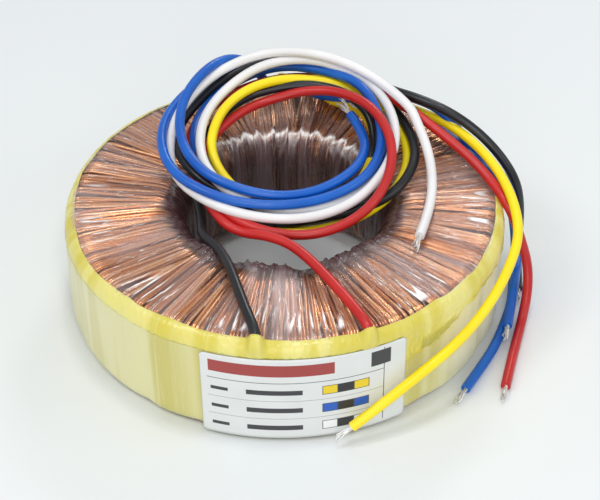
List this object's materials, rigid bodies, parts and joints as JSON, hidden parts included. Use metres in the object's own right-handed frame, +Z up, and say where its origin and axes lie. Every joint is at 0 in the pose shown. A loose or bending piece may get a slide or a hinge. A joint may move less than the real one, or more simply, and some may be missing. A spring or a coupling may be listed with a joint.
{
  "type": "toroidal transformer",
  "caption": "Toroidal transformer: a copper-wound ring with an open centre bore, yellow tape round its rim, a blank label, and a loose coil of coloured flying leads.",
  "frame": {"origin": "on the bore's axis, on the surface that the wound ring rests on", "axes": "+Z up along the bore's axis; -Y towards the side of the rim that carries the label; +X to the right of someone who faces the label"},
  "size_m": [0.1323, 0.1231, 0.0515],
  "materials": {
    "core_steel": "bare grain-oriented strip",
    "copper_wire": "copper wire under clear varnish",
    "clear_film": "thin clear polyester film",
    "yellow_tape": "thin yellow polyester tape, wrinkled",
    "label_paper": "satin label stock",
    "lead_red": "extruded vinyl insulation",
    "lead_black": "extruded vinyl insulation",
    "lead_blue": "extruded vinyl insulation",
    "lead_yellow": "extruded vinyl insulation",
    "lead_white": "extruded vinyl insulation",
    "tinned_strands": "tinned copper strands"
  },
  "bodies": {
    "root": {"black_end": "lead_black", "black_start": "lead_black", "black_tap_start": "lead_black", "black_tip": "tinned_strands", "blue_bore_start": "lead_blue", "blue_long_end": "lead_blue", "blue_long_start": "lead_blue", "blue_long_tip": "tinned_strands", "blue_short_end": "lead_blue", "blue_short_start": "lead_blue", "blue_short_tip": "tinned_strands", "bore_film": "clear_film", "core": "core_steel", "core_wrap": "clear_film", "edge_tape": "yellow_tape", "label": "label_paper", "lead_coil": "lead_blue", "lead_joints": "tinned_strands", "main_secondary": "copper_wire", "middle_secondary": "copper_wire", "middle_wrap": "clear_film", "primary_winding": "copper_wire", "primary_wrap": "clear_film", "red_end": "lead_red", "red_start": "lead_red", "red_tip": "tinned_strands", "rim_tape": "yellow_tape", "small_secondary": "copper_wire", "small_wrap": "clear_film", "white_end": "lead_white", "white_start": "lead_white", "white_tip": "tinned_strands", "yellow_end": "lead_yellow", "yellow_start": "lead_yellow", "yellow_tip": "tinned_strands"}
  },
  "joints": []
}
